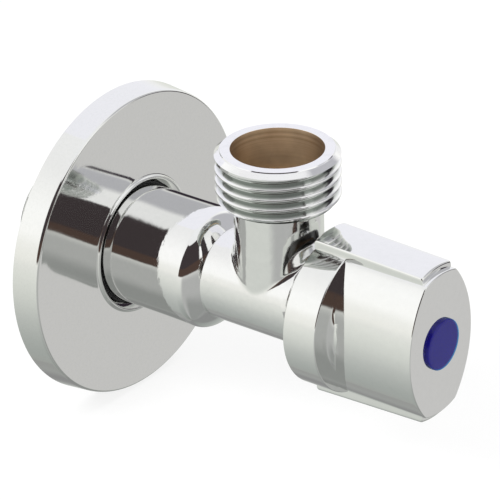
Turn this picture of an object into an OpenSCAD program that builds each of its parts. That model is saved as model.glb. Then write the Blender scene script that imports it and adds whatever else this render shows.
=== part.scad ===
// Quarter-turn angle stop valve: wall plate, body, ceramic-disc headwork and knob.
// The inlet and the knob share the X axis, the wall is the plane x = 0, and the outlet points up.

/* [Wall plate] */
// Outer diameter of the plate, at the wall
plate_d = 55; // [50:0.5:60]
// Depth of the plate, from the wall to its face's rim
plate_depth = 5; // [4.5:0.1:7]
// Thickness of the plate's sheet
plate_wall = 0.8; // [0.6:0.05:1]
// Radius of the bend between the plate's side and its face
plate_bend = 1.3; // [1.1:0.1:2]
// How far the plate's side leans in over its depth
plate_lean = 0.5; // [0.2:0.1:1]
// How far the face bulges between its rim and its middle
plate_crown = 0.6; // [0.3:0.1:1]
// Width of the lip round the plate's hole
lip_w = 1.2; // [1:0.1:1.6]
// Height of the lip above the face
lip_h = 0.7; // [0.4:0.1:1]
// Gap between the plate's hole and the barrel
plate_gap = 0.3; // [0.25:0.05:0.5]
// Length of the rubber ring behind the plate
grip_len = 2.4; // [1.5:0.1:3]
// Thickness of the rubber ring behind the plate
grip_w = 1.9; // [1.6:0.1:2.6]

/* [Body] */
// Outer diameter of both pipe threads
thread_d = 20.955; // [20.9:0.005:21.1]
// How far the inlet reaches behind the wall
inlet_reach = 14; // [14:0.5:20]
// Length of the inlet thread
inlet_thread_len = 14.5; // [12:0.5:14.5]
// Diameter of the turned barrel
barrel_d = 20.8; // [20.2:0.1:21.2]
// Length of the straight barrel in front of the wall
barrel_len = 14; // [13:0.5:20]
// Diameter of the barrel where its shoulder begins
swell_d = 21; // [20.9:0.1:21.6]
// Length over which the barrel swells
swell_len = 7.5; // [5:0.1:9]
// Length of the domed shoulder down to the centre tube
dome_len = 2.9; // [2.4:0.1:4]
// Diameter of the centre tube
tube_d = 15.8; // [15.6:0.1:16.4]
// Distance from the end of the dome to the outlet's axis
outlet_offset = 10.9; // [10.8:0.1:13]
// Length of the centre tube beyond the outlet's axis
tube_reach = 7.1; // [6.5:0.1:9]
// Length of the cone between the tube and the collar
cone_len = 2; // [1.5:0.1:3]
// Length of the collar that takes the headwork
collar_len = 1.9; // [1.6:0.1:3]
// Diameter of the collar that takes the headwork
collar_d = 19.8; // [19:0.1:20.6]
// Diameter of the inlet bore
inlet_bore_d = 13; // [12:0.1:14]
// Diameter of the hole in the seat
seat_hole_d = 9.2; // [8.6:0.1:9.6]
// Thickness of the seat, along the inlet
seat_len = 3.2; // [2.5:0.1:4]
// Diameter of the chamber that takes the headwork's nose
chamber_d = 12.9; // [12.8:0.05:13.3]
// Diameter of the headwork's thread
headwork_thread_d = 14; // [13.8:0.05:14.2]

/* [Outlet] */
// Height of the outlet's rim above the inlet's axis
outlet_h = 26.2; // [25.5:0.1:32]
// Length of the outlet thread
outlet_thread_len = 9.2; // [8.6:0.1:10]
// Chamfer at both ends of each thread
thread_chamfer = 0.7; // [0.6:0.1:1.1]
// Diameter of the neck under the thread
neck_d = 15; // [14.6:0.1:15.4]
// Radius of the blend at the foot of the neck
neck_blend = 0.8; // [0.6:0.1:2.6]
// Diameter of the turned counterbore in the rim
counterbore_d = 15.6; // [15:0.1:16]
// Depth of the counterbore
counterbore_len = 7.9; // [7:0.1:8.4]
// Diameter of the waterway through the neck
waterway_d = 10; // [9:0.1:10.4]

/* [Knob] */
// Diameter of the knob's round skirt
skirt_d = 26; // [25.6:0.1:27]
// Length of the skirt, back to front
skirt_len = 6.4; // [6:0.1:7]
// Length of the knob, back to front
knob_len = 22.3; // [21.8:0.1:24]
// Height of the grip's oval face
grip_h = 25.4; // [24.8:0.1:25.6]
// Width of the oval across its middle
grip_mid_w = 17.4; // [16.8:0.1:18]
// Width of the oval across its top and bottom
grip_end_w = 8.6; // [8.2:0.1:9.4]
// Radius of the hollow between the skirt and the grip
scallop_r = 1.7; // [1.4:0.1:2.2]
// Chamfer round the knob's face
face_chamfer = 0.2; // [0.1:0.1:0.6]
// Width of the two raised bars
bar_w = 8; // [7.2:0.1:8.2]
// Distance between the bars' outer faces at the skirt
bar_back_d = 29; // [28.4:0.1:29.6]
// Distance between the bars' outer faces at the knob's face
bar_front_d = 27.6; // [26.8:0.1:28.2]
// How far the bars stop short of the knob's face
bar_setback = 0.9; // [0.6:0.1:1.4]
// Thickness of the skirt's wall
skirt_wall = 1.6; // [1.4:0.1:1.8]
// Diameter of the blue index button
cap_d = 8.8; // [8.6:0.1:9.8]
// Depth of the index button's seat in the knob's face
cap_len = 1.3; // [1:0.1:1.6]
// How far the index button stands proud of the knob's face
cap_rise = 0.6; // [0.2:0.1:0.8]

/* [Headwork] */
// Thickness of the flat gasket under the flange
gasket_len = 0.6; // [0.5:0.05:0.8]
// Width across the flats of the housing's hexagon
hex_af = 17; // [16:0.1:17.4]
// Thickness of the hexagon
hex_len = 2.6; // [2.2:0.1:2.8]
// Diameter of the housing's guide in front of the hexagon
guide_d = 10.8; // [10:0.1:11.4]
// Length of the housing's guide
guide_len = 5; // [4.4:0.1:5.4]
// Thickness of the wall round the ceramic discs
nose_wall = 0.8; // [0.7:0.05:0.9]
// Gap between the headwork's nose and the chamber
nose_gap = 0.15; // [0.1:0.05:0.25]
// Thickness of each ceramic disc
disc_len = 2.6; // [2.2:0.1:2.8]
// Angle that each opening in a disc spans
opening_angle = 74; // [60:1:80]
// Thickness of the rubber seal in front of the seat
seal_len = 2.4; // [2.2:0.1:2.6]
// Diameter of the spindle
spindle_d = 7; // [6.6:0.1:7.2]
// Running gap between the spindle and the housing
spindle_gap = 0.05; // [0.03:0.01:0.1]
// Thickness of the O-rings' cord
oring_d = 1.2; // [1:0.05:1.3]
// Length of the water windows in the housing
window_len = 4.6; // [4:0.1:5]
// Width of the water windows in the housing
window_w = 6.4; // [5:0.1:6.6]
// Angle that the knob turns through
turn_angle = 90; // [88:1:90]
// Number of splines on the spindle
spline_n = 12; // [10:1:16]
// Diameter over the splines
spline_d = 6.4; // [6.2:0.05:6.6]
// Depth of the splines
spline_depth = 0.5; // [0.4:0.05:0.6]
// Diameter of the screw that holds the knob
screw_d = 4; // [3.5:0.1:4]

/* [Hidden] */
$fn = 96;

chrome = "gainsboro";
brass = "goldenrod";
rubber = "dimgray";
ceramic = "whitesmoke";
plastic = "ivory";
steel = "lightsteelblue";

// Places along the inlet's axis, from the wall
x_inlet = -inlet_reach;
x_swell = barrel_len + swell_len;
x_dome = x_swell + dome_len;
x_outlet = x_dome + outlet_offset;
x_cone = x_outlet + tube_reach;
x_collar = x_cone + cone_len;
x_body = x_collar + collar_len;

// The seat lies one nose length behind the outlet's axis
seat_to_outlet = 8.1;
x_seat = x_outlet - seat_to_outlet;
x_seal = x_seat + seal_len;
x_fixed = x_seal + disc_len;
x_moving = x_fixed + disc_len;
driver_len = 1.8;
// Keys of the disc driver, and the clearance round them in the moving disc's slots
key_span = 40;
key_r = 3;
key_rim = 0.9;
key_len = 0.9;
key_play = 0.1;
slot_span = key_span + 4;
x_driver = x_moving + driver_len;
x_window_end = x_moving + 0.3 + window_len;
washer_len = 0.8;
lug_len = 1.2;
x_lug = x_window_end + 0.2;
x_washer = x_lug + lug_len;
x_guide_bore = x_washer + washer_len;

// The headwork's thread fills the tube's end and the collar
x_thread = x_guide_bore + 0.2;
x_flange = x_body + gasket_len;
x_hex = x_flange + hex_len;
x_guide = x_hex + guide_len;
clip_len = 0.7;
x_clip = x_guide + 0.1;

// The skirt's back edge stands just over the collar
skirt_cover = 0.7;
x_knob = x_body - skirt_cover;
x_skirt = x_knob + skirt_len;
x_face = x_knob + knob_len;

// The collar's face on the housing, the bush and the screw, outward from the clip
bush_len = 6.2;
x_bush = x_clip + clip_len + 0.6;
x_bush_end = x_bush + bush_len;
web_len = 1.4;
x_web = x_bush_end + web_len;
screw_washer_len = 0.5;
screw_head_len = 1.8;
screw_head_d = 1.75 * screw_d;
screw_bite = 5;
screw_slot_depth = 1;
screw_slot_margin = 1.1;
x_head = x_web + screw_washer_len;
spindle_end_gap = 0.3;
x_spindle = x_bush_end - spindle_end_gap;

nose_d = chamber_d - 2 * nose_gap;
disc_seat_d = nose_d - 2 * nose_wall;
disc_d = disc_seat_d - 0.2;
spindle_bore_d = spindle_d + 2 * spindle_gap;
plate_hole_d = max(barrel_d, thread_d) + 2 * plate_gap;
bush_wall = 1.6;
bush_d = spline_d + 2 * bush_wall;
cap_skirt_d = cap_d - 1;

// The spindle's lug points down and back at rest, and the housing's stops lie past its travel
lug_span = 40;
lug_rest = -135;
stop_span = 30;
stop_clear = 2;
function stop_mid(side) = side < 0 ? lug_rest - lug_span / 2 - stop_clear - stop_span / 2
    : lug_rest + turn_angle + lug_span / 2 + stop_clear + stop_span / 2;

// O-ring grooves, counted outward from the housing's bore
groove_w = oring_d + 0.3;
groove_r = spindle_bore_d / 2 - oring_d - 0.03;
function x_groove(i) = x_guide_bore + 1.6 + i * (oring_d + 1.9);

// Round stretch of an outline, from one angle to another
function arc(cx, cy, r, a0, a1, n = 8) =
    [for (i = [0:n]) let (a = a0 + (a1 - a0) * i / n) [cx + r * cos(a), cy + r * sin(a)]];

// Turned shape about the inlet's axis: outline points are [radius, distance from the wall]
module turned(points) rotate([0, 90, 0]) rotate_extrude() polygon(points);

// Plain round bar along the inlet's axis
module rod(x0, x1, d) translate([x0, 0, 0]) rotate([0, 90, 0]) cylinder(h = x1 - x0, d = d);

// Round bar with a chamfer at each end
module chamfered_rod(x0, x1, d, c0, c1) {
    r = d / 2;
    turned([[0, x0], [r - c0, x0], [r, x0 + c0], [r, x1 - c1], [r - c1, x1], [0, x1]]);
}

module tube(x0, x1, outer_d, inner_d) {
    difference() {
        rod(x0, x1, outer_d);
        rod(x0 - 1, x1 + 1, inner_d);
    }
}

// Flat outline in the plane across the axis, drawn as [y, z], carried from x0 to x1
module across(x0, x1) translate([x0, 0, 0]) rotate([90, 0, 90]) linear_extrude(x1 - x0) children();

// Pie slice as wide as angle a, centred on angle mid
module slice(r, mid, a) polygon([[0, 0], for (i = [0:4]) r * [cos(mid - a / 2 + a * i / 4),
    sin(mid - a / 2 + a * i / 4)]]);

module ring_slice(r_out, r_in, mid, a) {
    intersection() {
        difference() {
            circle(r_out);
            circle(r_in);
        }
        slice(2 * r_out, mid, a);
    }
}

// Outline of the plate as a solid puck, smaller all round by inset
module plate_puck(inset) {
    r = plate_d / 2 - inset;
    h = plate_depth - inset;
    bend = plate_bend - inset;
    face_r = r - plate_lean - bend;
    crown_r = plate_d / 2 - plate_lean - plate_bend;
    bend_angle = 84;
    top = [for (i = [0:6]) let (s = face_r * (1 - i / 6))
        [s, h + plate_crown * (1 - pow(s / crown_r, 2))]];
    turned(concat([[0, -inset], [r, -inset], [r, 0]], arc(face_r, h - bend, bend, 0, bend_angle, 6),
        top));
}

function plate_face_x(r) = plate_depth
    + plate_crown * (1 - pow(r / (plate_d / 2 - plate_lean - plate_bend), 2));

module wall_plate() {
    hole_r = plate_hole_d / 2;
    lip_x = plate_face_x(hole_r + lip_w / 2);
    color(chrome) difference() {
        union() {
            difference() {
                plate_puck(0);
                plate_puck(plate_wall);
            }
            turned(concat([[hole_r - 1, lip_x - plate_wall], [hole_r + lip_w, lip_x - plate_wall]],
                arc(hole_r + lip_w / 2, lip_x + lip_h - lip_w / 2, lip_w / 2, 0, 180, 8),
                [[hole_r - 1, lip_x + lip_h - lip_w / 2]]));
        }
        rod(-1, plate_depth + 4, plate_hole_d);
    }
}

module plate_grip_ring() {
    r = barrel_d / 2 + 0.04;
    x1 = plate_face_x(r + grip_w) - plate_wall - 0.05;
    color(rubber) turned(concat([[r, x1], [r, x1 - grip_len + 0.5], [r + 0.5, x1 - grip_len]],
        [[r + grip_w, x1 - grip_len], [r + grip_w, x1]]));
}

// Outer form of the body about the inlet's axis
module body_turning() {
    thread_r = thread_d / 2;
    barrel_r = barrel_d / 2;
    relief_r = thread_r - 0.8;
    relief_len = 1.1;
    x_thread_end = x_inlet + inlet_thread_len;
    x_barrel = x_thread_end + relief_len;
    tube_r = tube_d / 2;
    dome_h = swell_d / 2 - tube_r;
    // The dome starts almost straight, and meets the tube steeply
    dome_start = 0.12;
    dome = [for (i = [0:8]) let (t = i / 8)
        [tube_r + dome_h * (1 - dome_start * t - (1 - dome_start) * t * t), x_swell + dome_len * t]];
    turned(concat([[0, x_inlet], [thread_r - thread_chamfer, x_inlet],
        [thread_r, x_inlet + thread_chamfer], [thread_r, x_thread_end],
        [relief_r, x_thread_end + 0.7], [relief_r, x_barrel], [barrel_r, x_barrel + 0.5],
        [barrel_r, barrel_len]], dome, [[tube_r, x_cone], [collar_d / 2, x_collar],
        [collar_d / 2, x_body - 0.5], [collar_d / 2 - 0.5, x_body], [0, x_body]]));
}

// Outer form of the outlet about its own axis
module outlet_turning() {
    thread_r = thread_d / 2;
    neck_r = neck_d / 2;
    z_thread = outlet_h - outlet_thread_len;
    c = thread_chamfer;
    rotate_extrude() polygon([[0, 0], [neck_r, 0], [neck_r, z_thread - c * 0.6],
        [thread_r - c, z_thread], [thread_r, z_thread + c], [thread_r, outlet_h - c],
        [thread_r - c, outlet_h], [0, outlet_h]]);
}

// Hollow blend at the foot of the neck: round in front and behind, flush at the tube's sides
module neck_foot() {
    r = neck_d / 2;
    reach = r + neck_blend;
    z0 = tube_d / 2 - 1.2;
    top = tube_d / 2 + neck_blend;
    sweep = 82;
    hollow = arc(reach, top, neck_blend, 180, 180 + sweep, 6);
    intersection() {
        scale([1, r / reach, 1]) rotate_extrude()
            polygon(concat([[0, 0], [0, top], [r, top]], hollow, [[reach, z0], [reach, 0]]));
        translate([-x_outlet, 0, 0]) rod(x_outlet - reach, x_outlet + reach, 2 * top - 0.4);
    }
}

module valve_body() {
    color(chrome) difference() {
        union() {
            body_turning();
            translate([x_outlet, 0, 0]) {
                outlet_turning();
                neck_foot();
            }
        }
        body_bores();
        translate([x_outlet, 0, 0]) outlet_bores();
    }
}

// Inlet bore, seat, chamber and the headwork's thread
module body_bores() {
    bore_r = inlet_bore_d / 2;
    seat_r = seat_hole_d / 2;
    x_taper = x_seat - seat_len;
    minor_r = headwork_thread_d / 2;
    turned([[0, x_inlet - 1], [bore_r + 0.6 + 1, x_inlet - 1], [bore_r, x_inlet + 0.6],
        [bore_r, x_taper - 2], [seat_r, x_taper], [seat_r, x_seat],
        [chamber_d / 2, x_seat], [chamber_d / 2, x_thread], [minor_r, x_thread],
        [minor_r, x_body - 0.4], [minor_r + 1.4, x_body + 1], [0, x_body + 1]]);
}

module outlet_bores() {
    c = 0.05;
    r = counterbore_d / 2;
    w = waterway_d / 2;
    z = outlet_h - counterbore_len;
    rotate_extrude() polygon([[0, 0], [w, 0], [w, z - 1], [r, z], [r, outlet_h - c],
        [r + c + 1, outlet_h + 1], [0, outlet_h + 1]]);
}

module headwork_housing() {
    hex_r = hex_af / 2 / cos(30);
    stop_in = disc_seat_d / 2 - 0.9;
    color(brass) {
        difference() {
            union() {
                rod(x_seat + 1.1, x_thread + 0.4, nose_d);
                chamfered_rod(x_thread + 0.3, x_flange + 0.5, headwork_thread_d - 0.1, 0.5, 0.1);
                intersection() {
                    across(x_flange, x_hex) circle(hex_r, $fn = 6);
                    chamfered_rod(x_flange, x_hex, 2 * hex_r - 0.4, 0.1, 1.1);
                }
                chamfered_rod(x_hex - 0.5, x_guide, guide_d, 0.1, 0.5);
            }
            rod(x_seat, x_guide_bore, disc_seat_d);
            rod(x_seat, x_guide + 1, spindle_bore_d);
            housing_windows();
        }
        // Two stops inside the housing, which the spindle's lug meets
        for (side = [-1, 1]) across(x_lug, x_washer - 0.05)
            ring_slice(disc_seat_d / 2 + 0.1, stop_in, stop_mid(side), stop_span);
    }
}

module housing_windows() {
    x0 = x_moving + 0.3;
    for (a = [0, 90, 180, 270]) rotate([a, 0, 0])
        translate([x0, -window_w / 2, 0]) cube([window_len, window_w, nose_d]);
}

module headwork_gasket() {
    color(rubber) tube(x_body, x_flange, hex_af - 0.4, headwork_thread_d + 0.1);
}

// Grooved shaft: drive tongue, collar with lug, two O-ring grooves, clip groove and splines
module spindle() {
    r = spindle_d / 2;
    neck_r = r - 0.6;
    collar_r = disc_seat_d / 2 - 1.4;
    clip_r = r - 0.5;
    tip_r = spline_d / 2 - spline_depth;
    color(brass) difference() {
        union() {
            turned([[0, x_driver], [neck_r, x_driver], [neck_r, x_lug], [collar_r, x_lug],
                [collar_r, x_washer], [r, x_washer],
                [r, x_groove(0)], [groove_r, x_groove(0)], [groove_r, x_groove(0) + groove_w],
                [r, x_groove(0) + groove_w],
                [r, x_groove(1)], [groove_r, x_groove(1)], [groove_r, x_groove(1) + groove_w],
                [r, x_groove(1) + groove_w],
                [r, x_clip], [clip_r, x_clip], [clip_r, x_clip + clip_len],
                [r, x_clip + clip_len], [r, x_bush - 0.3], [tip_r, x_bush],
                [tip_r, x_spindle], [0, x_spindle]]);
            across(x_moving + 0.2, x_driver + 0.5) square([2.6, 2 * neck_r - 1.2], center = true);
            across(x_lug, x_washer - 0.1)
                ring_slice(disc_seat_d / 2 - 0.15, collar_r - 0.3, lug_rest, lug_span);
            across(x_bush, x_spindle) spline_outline(spline_d / 2);
        }
        rod(x_spindle - screw_bite - 1, x_spindle + 1, screw_d);
    }
}

// Splined outline: ridges with straight flanks on a round core
module spline_outline(r) {
    core = r - spline_depth;
    half = 360 / spline_n / 4;
    polygon([for (i = [0:spline_n - 1]) each [
        core * [cos(360 * i / spline_n - half * 1.25), sin(360 * i / spline_n - half * 1.25)],
        r * [cos(360 * i / spline_n - half * 0.6), sin(360 * i / spline_n - half * 0.6)],
        r * [cos(360 * i / spline_n + half * 0.6), sin(360 * i / spline_n + half * 0.6)],
        core * [cos(360 * i / spline_n + half * 1.25), sin(360 * i / spline_n + half * 1.25)]]]);
}

module o_ring(i) {
    middle_r = groove_r + oring_d / 2 + 0.01;
    color(rubber) translate([x_groove(i) + groove_w / 2, 0, 0]) rotate([0, 90, 0])
        rotate_extrude() translate([middle_r, 0]) circle(oring_d / 2, $fn = 24);
}

module spindle_o_ring_inner() o_ring(0);
module spindle_o_ring_outer() o_ring(1);

module thrust_washer() {
    color(plastic) tube(x_washer + 0.02, x_guide_bore - 0.02, disc_seat_d - 0.2, spindle_d + 0.2);
}

// Open spring clip in the groove in front of the housing's guide
module retaining_clip() {
    outer_r = spindle_d / 2 + 1;
    inner_r = spindle_d / 2 - 0.45;
    opening = 70;
    color(steel) across(x_clip + 0.05, x_clip + clip_len - 0.05) difference() {
        circle(outer_r);
        circle(inner_r);
        slice(2 * outer_r, 90, opening);
    }
}

// Carrier that turns the moving disc and leaves its openings clear
module disc_driver() {
    color(plastic) difference() {
        union() {
            across(x_moving + 0.05, x_driver - 0.05) difference() {
                circle(disc_d / 2 - 0.2);
                for (side = [0, 180])
                    ring_slice(disc_d, 2.5, side, opening_angle + 4);
            }
            for (side = [90, 270]) across(x_moving - key_len, x_moving + 0.1)
                ring_slice(disc_d / 2 - key_rim, key_r, side, key_span);
        }
        across(x_moving, x_driver + 1) square([2.8, 2 * (spindle_d / 2 - 0.6) - 1], center = true);
    }
}

// Two opposite openings of a disc, centred on angle mid
module disc_openings(mid) {
    for (side = [0, 180]) ring_slice(disc_d / 2 - 0.7, 1.5, mid + side, opening_angle);
}

// At rest the moving disc's openings lie across the fixed disc's, so the valve is shut
module moving_disc() {
    color(ceramic) difference() {
        across(x_fixed + 0.005, x_moving) difference() {
            circle(disc_d / 2);
            disc_openings(0);
        }
        for (side = [90, 270]) across(x_moving - key_len - key_play, x_moving + 1)
            ring_slice(disc_d / 2 - key_rim + key_play, key_r - key_play, side, slot_span);
    }
}

module fixed_disc() {
    color(ceramic) across(x_seal + 0.01, x_fixed - 0.005) difference() {
        circle(disc_d / 2);
        disc_openings(90);
    }
}

// Rubber ring that fills the nose and stands proud of it against the seat
module seat_seal() {
    inner_r = seat_hole_d / 2 - 0.1;
    color(rubber) turned([[inner_r, x_seat], [nose_d / 2 - 0.2, x_seat],
        [nose_d / 2 - 0.2, x_seat + 1.05], [disc_seat_d / 2 - 0.05, x_seat + 1.05],
        [disc_seat_d / 2 - 0.05, x_seal], [inner_r, x_seal]]);
}

module seat_seal_ring() {
    outer_d = seat_hole_d - 0.25;
    color(plastic) tube(x_seat + 0.2, x_seal - 0.1, outer_d, outer_d - 1);
}

// Skirt, shoulder and the hollow that runs into the grip's sides
module knob_skirt() {
    r = skirt_d / 2;
    edge = 0.35;
    foot_r = grip_mid_w / 2;
    hollow = arc(foot_r + scallop_r, x_skirt + scallop_r, scallop_r, 270, 180, 8);
    turned(concat([[0, x_knob], [r - edge, x_knob], [r, x_knob + edge], [r, x_skirt - edge],
        [r - edge, x_skirt]], hollow, [[0, x_skirt + scallop_r]]));
}

// Two raised bars, from the skirt's back edge to just short of the face
module knob_bars() {
    back_r = bar_back_d / 2;
    front_r = bar_front_d / 2;
    x_end = x_face - bar_setback;
    edge = 0.3;
    intersection() {
        turned([[0, x_knob], [back_r - edge, x_knob], [back_r, x_knob + edge],
            [front_r, x_end - edge], [front_r - edge, x_end], [0, x_end]]);
        across(x_knob - 1, x_end + 1) square([bar_w, 2 * bar_back_d], center = true);
    }
}

// Oval grip with a chamfered face: what three chamfered rods have in common
module knob_grip() {
    h = grip_h / 2;
    mid = grip_mid_w / 2;
    end = grip_end_w / 2;
    corner_z = sqrt(h * h - end * end);
    side_r = (pow(corner_z, 2) + pow(mid - end, 2)) / (2 * (mid - end));
    intersection() {
        chamfered_rod(x_skirt - 1, x_face, grip_h, 0, face_chamfer);
        intersection_for(side = [-1, 1]) translate([0, side * (side_r - mid), 0])
            chamfered_rod(x_skirt - 1, x_face, 2 * side_r, 0, face_chamfer);
    }
}

module knob() {
    color(chrome) difference() {
        union() {
            knob_skirt();
            knob_grip();
            knob_bars();
        }
        knob_hollow();
    }
}

// Room for the collar, the hexagon, the guide, the bush, the screw and the index button
module knob_hollow() {
    x_room = x_hex + 0.6;
    x_step = x_bush + 0.4;
    bush_r = bush_d / 2;
    cap_r = cap_d / 2 + 0.02;
    well_r = cap_skirt_d / 2 + 0.05;
    turned([[0, x_knob - 1], [skirt_d / 2 - skirt_wall, x_knob - 1],
        [skirt_d / 2 - skirt_wall, x_room], [guide_d / 2 + 1.2, x_room],
        [guide_d / 2 + 1.2, x_step], [bush_r, x_step], [bush_r, x_bush_end],
        [screw_d / 2 + 0.2, x_bush_end], [screw_d / 2 + 0.2, x_web], [well_r, x_web],
        [well_r, x_face - cap_len], [cap_r, x_face - cap_len], [cap_r, x_face + 1], [0, x_face + 1]]);
}

module knob_bush() {
    color(plastic) across(x_bush, x_bush_end - 0.02) difference() {
        circle(bush_d / 2 - 0.02);
        spline_outline(spline_d / 2 + 0.06);
    }
}

module knob_screw() {
    head_r = screw_head_d / 2;
    shank_r = screw_d / 2 - 0.02;
    slot_w = 1;
    tip = 0.4;
    edge = 0.3;
    x_tip = x_spindle - screw_bite;
    x_top = x_head + screw_head_len;
    color(steel) difference() {
        turned([[0, x_tip], [shank_r - tip, x_tip], [shank_r, x_tip + tip], [shank_r, x_head],
            [head_r, x_head], [head_r, x_top - edge], [head_r - edge, x_top], [0, x_top]]);
        for (a = [0, 90]) rotate([a, 0, 0]) across(x_top - screw_slot_depth, x_top + 1)
            square([slot_w, screw_head_d - 2 * screw_slot_margin], center = true);
    }
}

module screw_washer() {
    color(steel) tube(x_web + 0.02, x_head - 0.02, screw_head_d + 0.2, screw_d + 0.3);
}

// Button with a thin skirt that snaps into the screw's well
module index_cap() {
    r = cap_d / 2;
    skirt_r = cap_skirt_d / 2;
    x_top = x_face + cap_rise;
    x0 = x_face - cap_len + 0.02;
    skirt_len = 0.8;
    skirt_wall = 0.4;
    color("darkblue") turned([[0, x0], [skirt_r - skirt_wall, x0],
        [skirt_r - skirt_wall, x0 - skirt_len], [skirt_r, x0 - skirt_len], [skirt_r, x0], [r, x0],
        [r, x_top - 0.4], [r - 0.12, x_top - 0.15], [r - 0.6, x_top], [0, x_top]]);
}

valve_body();
wall_plate();
plate_grip_ring();
headwork_housing();
headwork_gasket();
spindle();
spindle_o_ring_inner();
spindle_o_ring_outer();
thrust_washer();
retaining_clip();
disc_driver();
moving_disc();
fixed_disc();
seat_seal();
seat_seal_ring();
knob();
knob_bush();
knob_screw();
screw_washer();
index_cap();
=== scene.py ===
import math

import bmesh
import bpy
import numpy as np
from mathutils import Matrix, Vector


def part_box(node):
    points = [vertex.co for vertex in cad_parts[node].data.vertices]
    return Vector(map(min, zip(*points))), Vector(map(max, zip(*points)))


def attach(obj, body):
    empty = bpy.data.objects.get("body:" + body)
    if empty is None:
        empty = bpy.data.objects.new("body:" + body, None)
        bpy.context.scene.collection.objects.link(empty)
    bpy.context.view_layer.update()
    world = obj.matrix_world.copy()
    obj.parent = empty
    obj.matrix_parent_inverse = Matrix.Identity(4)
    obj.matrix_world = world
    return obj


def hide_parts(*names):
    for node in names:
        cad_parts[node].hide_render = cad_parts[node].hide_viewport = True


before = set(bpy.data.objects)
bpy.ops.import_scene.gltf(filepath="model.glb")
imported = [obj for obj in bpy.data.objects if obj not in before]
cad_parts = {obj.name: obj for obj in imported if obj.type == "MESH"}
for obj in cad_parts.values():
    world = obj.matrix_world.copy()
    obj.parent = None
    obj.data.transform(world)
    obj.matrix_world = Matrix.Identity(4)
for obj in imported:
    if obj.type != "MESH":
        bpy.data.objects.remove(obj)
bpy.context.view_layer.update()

# Chrome angle valve: wall plate, turned and cast body, threaded outlet and quarter-turn knob.
# Lengths are millimetres, in the solids' own frame: the inlet and the knob share the X axis.
MM = 0.001


def box_mm(node):
    """The two corners of a solid's box, in millimetres."""
    low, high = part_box(node)
    return np.array(low) / MM, np.array(high) / MM


# Places read from the solids
body_low, body_high = box_mm("valve_body")
plate_low, plate_high = box_mm("wall_plate")
knob_low, knob_high = box_mm("knob")
cap_low, cap_high = box_mm("index_cap")
x_inlet, x_body, outlet_top = body_low[0], body_high[0], body_high[2]
x_knob, x_face = knob_low[0], knob_high[0]

# Turned and cast body, from the wall outward
thread_r = 10.4775
thread_depth = 1.162
thread_pitch = 1.814
thread_round = 0.249
x_outlet = 35.3
x_sleeve_end = 0.5
relief_r = 9.68
x_relief = 1.6
barrel_r = 10.4
x_barrel_end = 14.0
x_swell = 21.5
swell_r = body_high[1]
x_dome = 24.4
tube_r = 7.9
x_cone = 42.4
x_collar = 44.4
collar_r = 9.9
neck_r = 7.5
neck_top = 16.4
foot_blend = 0.75

# Outlet, from its rim down
outlet_rim_r = 9.5
rim_band = 0.9
thread_stop = 0.78
first_crest = 16.35
z_thread = 17.0
counterbore_r = 7.8
counterbore_floor = 18.3
waterway_r = 5.0

# Inlet thread's two ends, its bore, the seat and the headwork's chamber
inlet_tip_r = 9.58
inlet_root_r = 9.88
inlet_bore_r = 6.5
seat_r = 4.6
x_seat = 27.2
seat_len = 3.2
chamber_r = 6.45
x_headwork_thread = 42.1
headwork_thread_r = 7.0


def welded_mesh(name, points, faces, drop_slivers=False):
    """A mesh from points in millimetres, welded, with its normals outward."""
    mesh = bpy.data.meshes.new(name)
    mesh.from_pydata((np.asarray(points) * MM).tolist(), [], faces)
    build = bmesh.new()
    build.from_mesh(mesh)
    bmesh.ops.remove_doubles(build, verts=build.verts, dist=2e-3 * MM)
    if drop_slivers:
        bmesh.ops.dissolve_degenerate(build, edges=build.edges, dist=1e-3 * MM)
    bmesh.ops.recalc_face_normals(build, faces=build.faces)
    build.to_mesh(mesh)
    build.free()
    return mesh


def mesh_object(name, points, faces, body, replaced=()):
    """A visible piece: it rides on its body and stands in for the nodes it replaces."""
    piece = bpy.data.objects.new(name, welded_mesh(name, points, faces, drop_slivers=True))
    bpy.context.scene.collection.objects.link(piece)
    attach(piece, body)
    for node in replaced:
        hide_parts(node)
    return piece


def skin(rings, loop=False):
    """Faces between neighbouring rings of points: rings is an array of rings, points and x, y, z."""
    count, around = rings.shape[:2]
    index = np.arange(count * around).reshape(count, around)
    if loop:
        index = np.vstack([index, index[:1]])
    a, b = index[:-1], index[1:]
    quads = np.stack([a, b, np.roll(b, -1, 1), np.roll(a, -1, 1)], -1)
    return rings.reshape(-1, 3), quads.reshape(-1, 4).tolist()


def crisp(piece, angle=38):
    """Smooth shading that stays flat beside small rounds, and sharp over edges past the angle."""
    piece.data.shade_smooth()
    build = bmesh.new()
    build.from_mesh(piece.data)
    for painted_light_edge in build.edges:
        painted_light_edge.smooth = len(painted_light_edge.link_faces) == 2 and painted_light_edge.calc_face_angle(0) < math.radians(angle)
    build.to_mesh(piece.data)
    build.free()
    weighted = piece.modifiers.new("area_weighted_normals", "WEIGHTED_NORMAL")
    weighted.mode = "FACE_AREA"
    weighted.weight = 50
    weighted.keep_sharp = True
    return piece


def bezier_corner(before, corner, after, reach, steps):
    """Points round a corner, from reach before it to reach after it, in any number of dimensions."""
    def toward(point):
        gap = np.linalg.norm(point - corner, axis=-1, keepdims=True)
        return corner + (point - corner) * np.minimum(0.48, reach / np.maximum(gap, 1e-9))
    start, end = toward(before), toward(after)
    rows = []
    for t in np.linspace(0, 1, steps + 1):
        rows.append((1 - t) ** 2 * start + 2 * t * (1 - t) * corner + t * t * end)
    return rows


def rounded(outline, closed=True):
    """Outline with round corners: each entry is (distance along, radius, size of the round)."""
    at = np.array([p[:2] for p in outline], float)
    sizes = [p[2] if len(p) > 2 else 0 for p in outline]
    result = []
    for i, size in enumerate(sizes):
        if size == 0 or (not closed and i in (0, len(sizes) - 1)):
            result.append(at[i])
        else:
            following = at[(i + 1) % len(at)]
            result.extend(bezier_corner(at[i - 1], at[i], following, size, 5))
    return np.array(result)


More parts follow.
